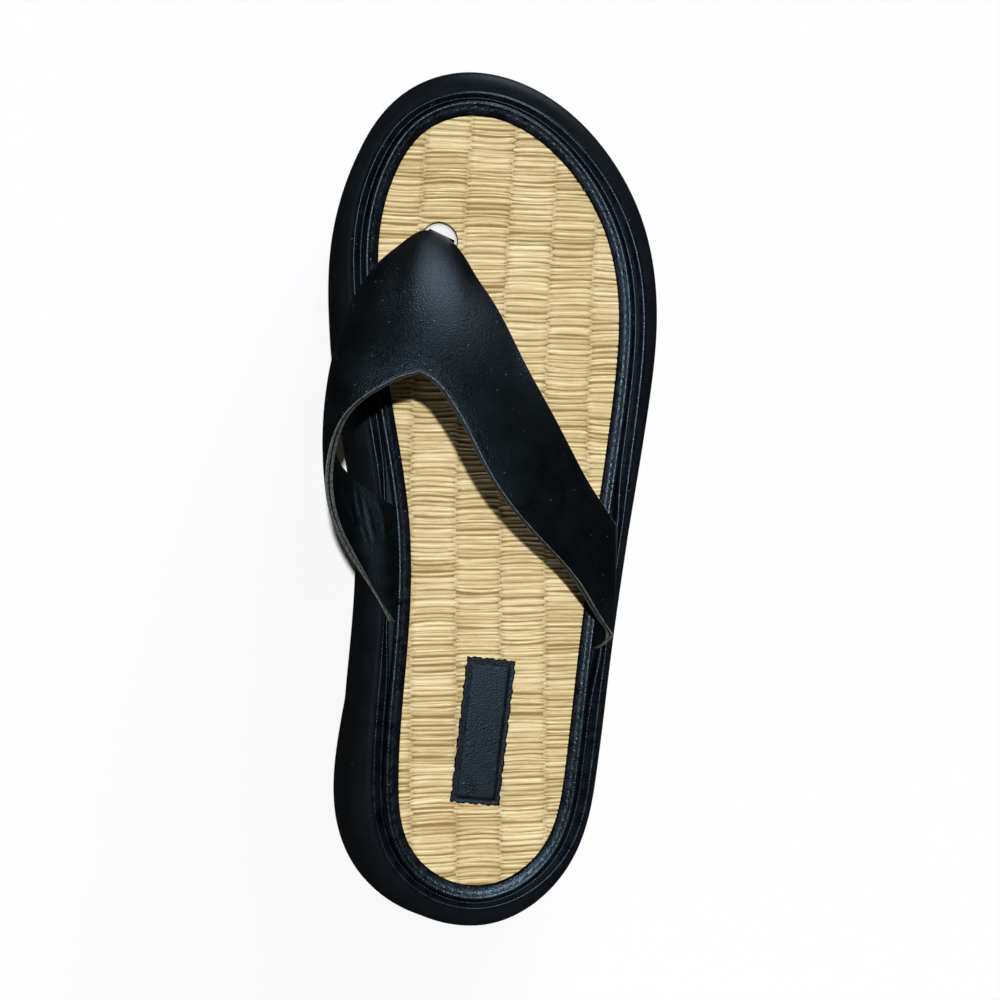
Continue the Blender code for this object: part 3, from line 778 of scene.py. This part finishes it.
# %% One stem's pillow
along_share = np.array(ALONG_SHARES)
across_share = np.linspace(-1, 1, ACROSS_STEPS + 1)
end_rise = np.clip(np.minimum(along_share, 1 - along_share) / END_SHARE, 0, 1)
end_rise = end_rise**2 * (3 - 2 * end_rise)
arch = (1 - np.abs(across_share) ** 2) ** 0.7


def flow(x, y):
    """How far the stems near a place lean towards the toe together."""
    waves = np.sin(210 * x + 90 * y) + 0.6 * np.sin(330 * x - 170 * y + 1.3)
    return STEM_FLOW * (waves + 0.4 * np.sin(95 * x + 610 * y))


def pillow(start, end, middle, reach, lean, bow):
    """Rows of points of one stem between two places across the shoe."""
    x = start + (end - start) * along_share
    wander = STEM_WANDER * np.sin(lean + 2 * np.pi * along_share) + flow(x, middle)
    wander += STEM_BOW * bow * (8 * (along_share - 0.5) ** 2 - 1)
    width = reach * (END_WIDTH + (1 - END_WIDTH) * end_rise)
    y = (middle + wander)[:, None] + width[:, None] * across_share
    rise = STEM_CROWN * (0.35 + 0.65 * end_rise)[:, None] * arch - STEM_TUCK * (1 - end_rise)[:, None]
    return np.broadcast_to(x[:, None], y.shape), y, rise


stem_places = -half_length + np.cumsum(STEM_SPACING * (1 + STEM_UNEVEN * rng.uniform(-1, 1, MOST_STEMS)))
stem_places = stem_places[stem_places < half_length + STEM_SPACING]
print(len(stem_places), "stems across the straw")

# %% The faces and the shade that all pillows share
row = ACROSS_STEPS + 1
last_row = ALONG_STEPS * row
_, grid_faces = skin(np.zeros((ALONG_STEPS + 1, row, 3)), round_rows=False)
under_faces = [(i, i + row, i + row + ACROSS_STEPS, i + ACROSS_STEPS) for i in range(0, last_row, row)]
end_faces = [tuple(range(row)), tuple(range(last_row + row - 1, last_row - 1, -1))]
pillow_faces = [*map(tuple, grid_faces), *under_faces, *end_faces]
# Painted shade for each point of a pillow: none in the middle of the stem, more towards its sides, and more
# again where its ends tuck under.
open_ends = 1 - END_SHADE + END_SHADE * end_rise
painted_gap_shade = 1 - open_ends[:, None] * (1 - SIDE_SHADE * np.abs(across_share) ** 4)
print(len(pillow_faces), "faces in a pillow")

# %% All the pillows, trimmed to the outline and the toe hole
stem_points, stem_faces, stem_tints, stem_shades = [], [], [], []
total = 0
for k in range(1, len(stem_places) - 1):
    middle = stem_places[k] + rng.normal(0, STEM_SHIFT)
    for column in range(k % 2, len(COLUMNS) - 1, 2):
        press = STEM_PRESS + PRESS_CHANGE * math.sin(middle * 260 + column * 2.1)
        reach = (stem_places[k + 1] - stem_places[k - 1]) / 2 * press * rng.uniform(*REACH_RANGE)
        tint, lean, lift = rng.beta(3.0, 2.0), rng.uniform(0, 2 * np.pi), rng.uniform(*LIFT_RANGE)
        tint += COLUMN_TONE * (1 - 2 * (column % 2))
        start = column_line(column, middle) - STEM_OVERRUN * rng.uniform(*OVERRUN_RANGE)
        end = column_line(column + 1, middle) + STEM_OVERRUN * rng.uniform(*OVERRUN_RANGE)
        bow = math.sin(middle * 130 + column * 1.9) + rng.normal(0, BOW_CHANGE)
        x, y, rise = pillow(start, end, middle, reach, lean, bow)
        y = np.clip(y, -half_length, half_length)
        low, high = straw_limits(y)
        spans = [(low, high)]
        hole = np.sqrt(np.clip(HOLE_RADIUS**2 - (y - HOLE_Y) ** 2, 0, None))
        if hole.max() > 0 and x.min() < HOLE_X + HOLE_RADIUS and x.max() > HOLE_X - HOLE_RADIUS:
            spans = [(low, np.minimum(high, HOLE_X - hole)), (np.maximum(low, HOLE_X + hole), high)]
        for low, high in spans:
            trimmed = np.clip(x, low - EDGE_TUCK, high + EDGE_TUCK)
            if np.ptp(trimmed) < STEM_OVERRUN:
                continue
            z = footbed_height(y) + rise * lift
            stem_points.append(np.stack([trimmed, y, z], axis=-1).reshape(-1, 3))
            stem_faces.extend(tuple(i + total for i in face) for face in pillow_faces)
            stem_tints.append(np.full(x.size, tint))
            stem_shades.append(painted_gap_shade.ravel())
            total += x.size
print(len(stem_points), "pillows")

# %% The weave as one mesh
weave = make_piece("straw_weave", np.concatenate(stem_points), stem_faces, [straw_finish])
mark_points(weave, "stem_tint", np.concatenate(stem_tints))
mark_points(weave, "stem_painted_shade", np.concatenate(stem_shades))
weave.visible_glossy = False
weave.data.set_sharp_from_angle(angle=SHARP_STEM)

# %% [markdown]
# ## The strap
#
# One wide strap starts in the groove on the inner side, arches over the instep, narrows to its tip
# at the toe hole and runs back down to the outer side. It is two layers, hide and lining, and their
# raw edges show grey at the throat. We draw the middle surface from a short table of rows, even it out
# near the tip, where the rows crowd and would leave ripples in the gleam, move it up for the hide and
# down for the lining, and let Solidify give each layer its thickness.

# %% The strap's rows
Row = namedtuple("Row", "name front_x front_y front_rise rear_x rear_y rear_rise crown")
STRAP_ROWS = (
    Row("inner_low", -0.0385, 0.0062, 0.0088, -0.0355, -0.0220, 0.0080, 0.0004),
    Row("inner_side", -0.0446, 0.0136, 0.0150, -0.0430, -0.0080, 0.0160, 0.0006),
    Row("inner_shoulder", -0.0444, 0.0375, 0.0200, -0.0453, 0.0110, 0.0250, 0.0012),
    Row("inner_top", -0.0392, 0.0550, 0.0195, -0.0406, 0.0240, 0.0325, 0.0028),
    Row("inner_toe", -0.0291, 0.0713, 0.0108, -0.0312, 0.0313, 0.0360, 0.0046),
    Row("inner_near_tip", -0.0226, 0.0772, 0.0058, -0.0274, 0.0333, 0.0366, 0.0054),
    Row("tip_inner", -0.0165, 0.0815, 0.0025, -0.0238, 0.0344, 0.0370, 0.0060),
    Row("tip_outer", -0.0078, 0.0772, 0.0025, -0.0182, 0.0338, 0.0372, 0.0060),
    Row("outer_near_tip", -0.0034, 0.0684, 0.0085, -0.0141, 0.0298, 0.0372, 0.0052),
    Row("outer_toe", 0.0009, 0.0604, 0.0140, -0.0101, 0.0238, 0.0370, 0.0042),
    Row("outer_top", 0.0096, 0.0414, 0.0220, -0.0004, 0.0060, 0.0345, 0.0026),
    Row("outer_shoulder", 0.0186, 0.0242, 0.0240, 0.0124, -0.0094, 0.0285, 0.0016),
    Row("outer_side", 0.0294, 0.0062, 0.0170, 0.0268, -0.0240, 0.0180, 0.0010),
    Row("outer_low", 0.0390, -0.0050, 0.0072, 0.0377, -0.0387, 0.0076, 0.0004),
    Row("outer_fold", 0.0410, -0.0076, 0.0060, 0.0393, -0.0418, 0.0060, 0.0002),
)
FOOT_TOP_RISE, FOOT_END_RISE = 0.0016, -0.0046
TAB_RISES = (0.0002, -0.0022, -0.0046)
THROAT_X, THROAT_PEAK, THROAT_REACH, THROAT_DEPTH = -0.0209, 0.0010, 0.0016, 0.012
TABLE_STEPS = 10
SPAN_STEPS, BAND_STEPS = 24, 44
TIP_SOFT, TIP_REACH = 7, 2.4
row_names = ["inner_foot_end", "inner_foot_top", *(row.name for row in STRAP_ROWS)]
FOOT_ROWS = len(row_names) - len(STRAP_ROWS)


def groove_points(y, outer_side):
    """The middle of the groove between binding and lip on one side of the shoe."""
    middle = fine_edge + fine_normal * (BINDING_WIDTH + GROOVE_WIDTH / 2)
    outer, inner = two_sides(middle)
    side = outer if outer_side else inner
    return np.column_stack([np.interp(y, side[:, 1], side[:, 0]), y])


def foot_row(ends, rise, outer_side):
    """A row of points along the groove, where a foot of the strap goes in."""
    y = np.linspace(*ends, TABLE_STEPS + 1)
    return np.column_stack([groove_points(y, outer_side), footbed_height(y) + rise])


def band_row(row):
    """A straight row of points over the strap, from its front edge to its rear edge."""
    front = (row.front_x, row.front_y, footbed_height(row.front_y) + row.front_rise)
    rear = (row.rear_x, row.rear_y, footbed_height(row.rear_y) + row.rear_rise)
    return np.linspace(front, rear, TABLE_STEPS + 1)


def unit_normals(sheet):
    """The upward direction at every point of a sheet."""
    normal = np.cross(np.gradient(sheet, axis=1), np.gradient(sheet, axis=0))
    return normal / np.linalg.norm(normal, axis=2)[:, :, None]


# %% The strap's middle surface
table_rows = [foot_row(INNER_FOOT, rise, False) for rise in (FOOT_END_RISE, FOOT_TOP_RISE)]
table_rows += [band_row(row) for row in STRAP_ROWS]
table_rows += [foot_row(OUTER_FOOT, rise, True) for rise in (FOOT_TOP_RISE, FOOT_END_RISE)]
table_rows = np.array(table_rows)
crowns = np.pad([row.crown for row in STRAP_ROWS], FOOT_ROWS)
band_share = np.linspace(0, 1, TABLE_STEPS + 1)
table_rows += unit_normals(table_rows) * np.outer(crowns, 4 * band_share * (1 - band_share))[:, :, None]
sheet = spline(table_rows, np.arange((len(table_rows) - 1) * SPAN_STEPS + 1) / SPAN_STEPS)
sheet = spline(np.swapaxes(sheet, 0, 1), np.linspace(0, TABLE_STEPS, BAND_STEPS + 1))
sheet = np.swapaxes(sheet, 0, 1)
print("strap sheet", sheet.shape)

# %% The evened tip and the throat's peak
soft = np.exp(-0.5 * (np.arange(-SPAN_STEPS, SPAN_STEPS + 1) / TIP_SOFT) ** 2)
longer = np.pad(sheet, ((SPAN_STEPS, SPAN_STEPS), (0, 0), (0, 0)), mode="edge")
evened = sum(weight * longer[i : i + len(sheet)] for i, weight in enumerate(soft / soft.sum()))
tip_row = row_names.index("tip_inner") + 0.5
near_tip = np.exp(-(((np.arange(len(sheet)) / SPAN_STEPS - tip_row) / TIP_REACH) ** 4))
sheet += (evened - sheet) * near_tip[:, None, None]
peak = THROAT_PEAK * np.exp(-np.abs(sheet[:, -1, 0] - THROAT_X) / THROAT_REACH)
peak[np.abs(sheet[:, -1, 1] - sheet[:, -1, 1].max()) > THROAT_DEPTH] = 0
sheet[:, :, 1] += peak[:, None] * np.linspace(0, 1, BAND_STEPS + 1) ** 6
sheet_normal = unit_normals(sheet)
print("throat peak", round(peak.max() * 1000, 2), "mm")

# %% [markdown]
# Leather never lies perfectly even. A few soft troughs are placed where the strap bends: down
# at both feet, and on the lining inside the inner leg, where it is pushed together.

# %% Creases, listed one by one
Crease = namedtuple("Crease", "name row_a band_a row_b band_b width depth")
HIDE_CREASES = (
    Crease("inner_foot_front", 2.2, 0.15, 3.4, 0.45, 0.0022, 0.00022),
    Crease("inner_foot_rear", 2.0, 0.55, 3.2, 0.80, 0.0020, 0.00020),
    Crease("outer_foot_front", 14.9, 0.20, 13.9, 0.50, 0.0022, 0.00020),
    Crease("outer_foot_rear", 15.0, 0.60, 14.2, 0.85, 0.0020, 0.00018),
)
LINING_CREASES = (
    Crease("crumple_a", 2.30, 0.36, 2.18, 0.56, 0.00050, 0.00032),
    Crease("crumple_b", 2.02, 0.12, 1.90, 0.38, 0.00055, 0.00034),
    Crease("crumple_c", 1.78, 0.14, 1.64, 0.50, 0.00060, 0.00038),
    Crease("crumple_d", 1.52, 0.04, 1.42, 0.17, 0.00050, 0.00030),
    Crease("crumple_e", 1.40, 0.16, 1.36, 0.36, 0.00055, 0.00034),
    Crease("crumple_f", 2.56, 0.28, 2.40, 0.44, 0.00050, 0.00030),
    Crease("crumple_g", 1.90, 0.44, 1.80, 0.60, 0.00050, 0.00026),
)


def creased(surface, normal, creases):
    """The surface with soft troughs along straight lines between two places on it."""
    sunk = np.zeros(surface.shape[:2])
    for crease in creases:
        ends = []
        for row, band in ((crease.row_a, crease.band_a), (crease.row_b, crease.band_b)):
            ends.append(surface[round(row * SPAN_STEPS), round(band * BAND_STEPS)])
        way = ends[1] - ends[0]
        share = np.clip(((surface - ends[0]) @ way) / (way @ way), 0, 1)
        away = np.linalg.norm(surface - ends[0] - share[:, :, None] * way, axis=2)
        fade = np.sin(np.pi * np.clip(share, 0.04, 0.96)) ** 0.6
        sunk += crease.depth * fade * np.exp(-((away / crease.width) ** 2))
    return surface - normal * sunk[:, :, None]


print(len(HIDE_CREASES), "creases on the hide,", len(LINING_CREASES), "on the lining")

# %% Raw edge, painted edge highlight and lining finishes
RAW_DARK, RAW_PALE, RAW_BAND, RAW_DEPTH = (0.018, 0.023, 0.025), (0.125, 0.142, 0.144), (0.3, 0.7), 0.00025
CORNER_DARK, CORNER_PALE, CORNER_BAND = (0.025, 0.032, 0.034), (0.25, 0.27, 0.27), (0.32, 0.68)
LINING_DARK, LINING_WORN, LINING_BAND = (0.0014, 0.0022, 0.0026), (0.0050, 0.0070, 0.0078), (0.4, 0.75)
NAP_DEPTH = 0.00022

raw_edge, place, feed = new_finish("raw_edge", Specular_IOR_Level=0.2, Roughness=0.75)
fuzz = place.noise(1300, 4.0, 0.7)
feed("Base Color", fuzz.between(*RAW_BAND).mix(RAW_DARK, RAW_PALE))
feed("Normal", fuzz.bump(RAW_DEPTH))
# The bevelled edges of both strap layers get a paler grey: a painted highlight along their rounded edges.
painted_edge_shine, place, feed = new_finish("painted_edge_shine", Specular_IOR_Level=0.2, Roughness=0.7)
fuzz = place.noise(1100, 4.0, 0.7)
feed("Base Color", fuzz.between(*CORNER_BAND).mix(CORNER_DARK, CORNER_PALE))
lining_leather, place, feed = new_finish("strap_lining", Specular_IOR_Level=0.22, Specular_Tint=COOL_GLEAM)
nap = place.noise(1300, 4.0, 0.65)
worn = place.noise(160, 4.0, 0.6)
feed("Base Color", worn.between(*LINING_BAND).mix(LINING_DARK, LINING_WORN))
feed("Roughness", nap * 0.2 + 0.36)
feed("Normal", nap.bump(NAP_DEPTH))
print("edges and lining made")

# %% Two layers with a tab at the tip
LAYER_THICK, LAYER_MIDDLE = 0.00092, 0.00066
EDGE_ROUND, EDGE_ANGLE = 0.00022, math.radians(60)
tip_first = row_names.index("tip_inner") * SPAN_STEPS
tip_last = row_names.index("tip_outer") * SPAN_STEPS


def strap_layer(name, surface, finishes):
    """One layer: surface, tab down the toe hole, a thickness with raw rims and softened edges."""
    points, faces = skin(surface, round_rows=False)
    points, faces = list(points), [tuple(face) for face in faces]
    edge = [i * (BAND_STEPS + 1) for i in range(tip_first, tip_last + 1)]
    line = np.linspace(points[edge[0]], points[edge[-1]], len(edge))
    for rise in TAB_RISES:
        lower = list(range(len(points), len(points) + len(edge)))
        points += [(x, y, float(footbed_height(y)) + rise) for x, y, _ in line]
        faces += [(edge[i], edge[i + 1], lower[i + 1], lower[i]) for i in range(len(edge) - 1)]
        edge = lower
    layer = make_piece(name, points, faces, finishes, "thong_strap")
    thick = layer.modifiers.new("thickness", "SOLIDIFY")
    thick.thickness, thick.offset = LAYER_THICK, 0.0
    thick.material_offset_rim = 1
    soft = layer.modifiers.new("soft_edges", "BEVEL")
    soft.width, soft.segments = EDGE_ROUND, 2
    soft.limit_method, soft.angle_limit = "ANGLE", EDGE_ANGLE
    # The bevel's faces take the third finish, the painted edge highlight.
    soft.material = 2
    return layer


hide_face = creased(sheet + sheet_normal * LAYER_MIDDLE, sheet_normal, HIDE_CREASES)
hide_layer = strap_layer("strap_hide", hide_face, [strap_leather, raw_edge, painted_edge_shine])
lining_face = creased(sheet - sheet_normal * LAYER_MIDDLE, sheet_normal, LINING_CREASES)
strap_layer("strap_lining", lining_face, [lining_leather, raw_edge, painted_edge_shine])

# %% The painted highlight along the fold above the outer foot
# Points near the fold row get the painted highlight, which fades over this share of a row.
FOLD_HIGHLIGHT_WIDTH = 0.17
rows_from_fold = np.arange(len(sheet)) / SPAN_STEPS - row_names.index("outer_fold")
fold_share = np.repeat(np.exp(-((rows_from_fold / FOLD_HIGHLIGHT_WIDTH) ** 2)), BAND_STEPS + 1)
mark_points(hide_layer, "painted_fold_highlight", np.pad(fold_share, (0, len(hide_layer.data.vertices) - len(fold_share))))
print("rubbed points", int((fold_share > 0.5).sum()))

# %% [markdown]
# ## Toe post
#
# In front of the strap's tip a pale half-moon plug fills the toe hole. It is a circle cut straight on
# the strap's side, raised, and rounded at the top.


# %% The half-moon plug
POST_TURN = math.radians(-24)
POST_FLAT, POST_BELOW_TOP, POST_ROUND = 0.0012, 0.0002, 0.0011
POST_SIDES, POST_ROUND_STEPS = 96, 6
POST_DARK, POST_PALE = (0.70, 0.70, 0.69), (0.80, 0.80, 0.79)

post_finish, place, feed = new_finish("pale_plug", Specular_IOR_Level=0.4)
mottle = place.noise(500, 3.0)
feed("Base Color", mottle.mix(POST_DARK, POST_PALE))
feed("Roughness", mottle * 0.2 + 0.32)
builder = bmesh.new()
bmesh.ops.create_circle(builder, cap_ends=True, radius=HOLE_RADIUS - GAP, segments=POST_SIDES)
everything = [*builder.verts, *builder.edges, *builder.faces]
bmesh.ops.bisect_plane(
    builder, geom=everything, plane_co=(0, POST_FLAT, 0), plane_no=(0, 1, 0), clear_inner=True
)
raised = bmesh.ops.extrude_face_region(builder, geom=list(builder.faces))["geom"]
top = {item for item in raised if isinstance(item, bmesh.types.BMFace)}
lifted = [item for item in raised if isinstance(item, bmesh.types.BMVert)]
bmesh.ops.translate(builder, verts=lifted, vec=(0, 0, FOOTBED_THICK - POST_BELOW_TOP))
rim_edges = [edge for edge in builder.edges if len(top.intersection(edge.link_faces)) == 1]
bmesh.ops.bevel(
    builder, geom=rim_edges, offset=POST_ROUND, segments=POST_ROUND_STEPS, profile=0.5, affect="EDGES"
)
base = float(footbed_height(HOLE_Y)) - FOOTBED_THICK
turned = Matrix.Translation((HOLE_X, HOLE_Y, base)) @ Matrix.Rotation(POST_TURN, 4, "Z")
bmesh.ops.transform(builder, matrix=turned, verts=builder.verts)
builder.verts.index_update()
points = [tuple(vert.co) for vert in builder.verts]
faces = [[vert.index for vert in face.verts] for face in builder.faces]
builder.free()
post = make_piece("toe_plug", points, faces, [post_finish], "toe_post")
post.data.set_sharp_from_angle(angle=math.radians(50))

# %% [markdown]
# ## Heel patch
#
# A small leather patch is sewn on the straw at the heel. It stays blank. Its face swells a little
# inside a line of stitches, and its cut edges are slightly uneven, as hand-cut leather is.

# %% The patch's sheet
PATCH_X, PATCH_Y, PATCH_TURN = 0.0010, -0.0705, math.radians(-6.8)
PATCH_WIDTH, PATCH_LENGTH, PATCH_THICK = 0.0150, 0.0444, 0.0012
PATCH_ACROSS, PATCH_ALONG = 30, 84
PATCH_SEAM_IN, PATCH_SEAM_WIDTH, PATCH_SEAM_DIP = 0.0012, 0.0005, 0.00042
PATCH_UNEVEN, PATCH_LIFT = 0.00016, 0.0003
PATCH_EDGE_DROP, PATCH_EDGE_WIDTH = 0.00035, 0.00025

patch_leather = leather(
    "patch_leather", deep=(0.0020, 0.0028, 0.0042), worn=(0.0085, 0.0112, 0.0146),
    shine=0.16, gloss=0.38, grain=0.0005, depth=0.00009, specks=0.22, blotch=0.0045, mottle=0.5,
)


def on_patch(across, ahead):
    """Places on the turned patch, in the footbed's own lines."""
    cosine, sine = math.cos(PATCH_TURN), math.sin(PATCH_TURN)
    return PATCH_X + across * cosine - ahead * sine, PATCH_Y + across * sine + ahead * cosine


across = np.linspace(-0.5, 0.5, PATCH_ACROSS + 1) * PATCH_WIDTH
ahead = np.linspace(-0.5, 0.5, PATCH_ALONG + 1) * PATCH_LENGTH
across, ahead = np.meshgrid(across, ahead)
edge_in = np.minimum(PATCH_WIDTH / 2 - np.abs(across), PATCH_LENGTH / 2 - np.abs(ahead))
wobble = PATCH_UNEVEN * (np.sin(ahead * 1130) + np.sin(ahead * 2700 + 1) * np.sin(ahead * 410))
end_wobble = PATCH_UNEVEN * (np.sin(across * 1500 + 2) + np.sin(across * 3300))
near_side = np.clip(np.abs(across) / (PATCH_WIDTH / 2), 0, 1) ** 8
near_end = np.clip(np.abs(ahead) / (PATCH_LENGTH / 2), 0, 1) ** 20
cut_across = across + np.sign(across) * wobble * near_side
x, y = on_patch(cut_across, ahead + np.sign(ahead) * end_wobble * near_end)
from_seam = (edge_in - PATCH_SEAM_IN) / PATCH_SEAM_WIDTH
rise = PATCH_LIFT + PATCH_THICK - PATCH_SEAM_DIP * np.exp(-(from_seam**2))
rise -= PATCH_EDGE_DROP * np.exp(-((edge_in / PATCH_EDGE_WIDTH) ** 2))
top_rows = np.stack([x, y, footbed_height(y) + rise], axis=-1)
under_rows = np.stack([x, y, footbed_height(y) + PATCH_LIFT], axis=-1)
print("patch top", top_rows.shape)

# %% Top, underside and cut edge of the patch
points, faces = skin(top_rows, round_rows=False)
size = len(points)
index = np.arange(size).reshape(top_rows.shape[:2])
border = [*index[0], *index[1:, -1], *index[-1, -2::-1], *index[-2:0:-1, 0]]
points = np.vstack([points, under_rows.reshape(-1, 3)])
faces = [*map(tuple, faces), *(tuple(i + size for i in face[::-1]) for face in faces)]
faces += [(border[i - 1], border[i], border[i] + size, border[i - 1] + size) for i in range(len(border))]
make_piece("heel_patch_leather", points, faces, [patch_leather], "heel_patch")

# %% Stitches round the patch
PATCH_STITCH_PITCH, PATCH_STITCH_LIFT = 0.0021, 0.00008
PATCH_STITCH_LENGTH, PATCH_STITCH_WIDTH, PATCH_STITCH_HEIGHT = 0.0016, 0.00048, 0.00034
seam_half = np.array([PATCH_WIDTH / 2 - PATCH_SEAM_IN, PATCH_LENGTH / 2 - PATCH_SEAM_IN])
spots, ways = [], []
for side in (-1, 1):
    for axis in (0, 1):
        count = round(2 * seam_half[axis] / PATCH_STITCH_PITCH)
        for share in (np.arange(count) + 0.5) / count * 2 - 1:
            spot = np.array([side, side], float) * seam_half
            spot[axis] = share * seam_half[axis]
            spots.append(spot)
            ways.append((axis == 0, axis == 1))
spots, ways = np.array(spots), np.array(ways, float)
x, y = on_patch(*spots.T)
thread_rise = PATCH_LIFT + PATCH_THICK - PATCH_SEAM_DIP + PATCH_STITCH_LIFT
middles = np.column_stack([x, y, footbed_height(y) + thread_rise])
x, y = on_patch(*ways.T)
along = np.column_stack([x - PATCH_X, y - PATCH_Y, np.zeros(len(x))])
points, faces = stitches(
    middles, along, PATCH_STITCH_LENGTH, PATCH_STITCH_WIDTH, PATCH_STITCH_HEIGHT
)
make_piece("patch_stitches", points, faces, [thread_finish])
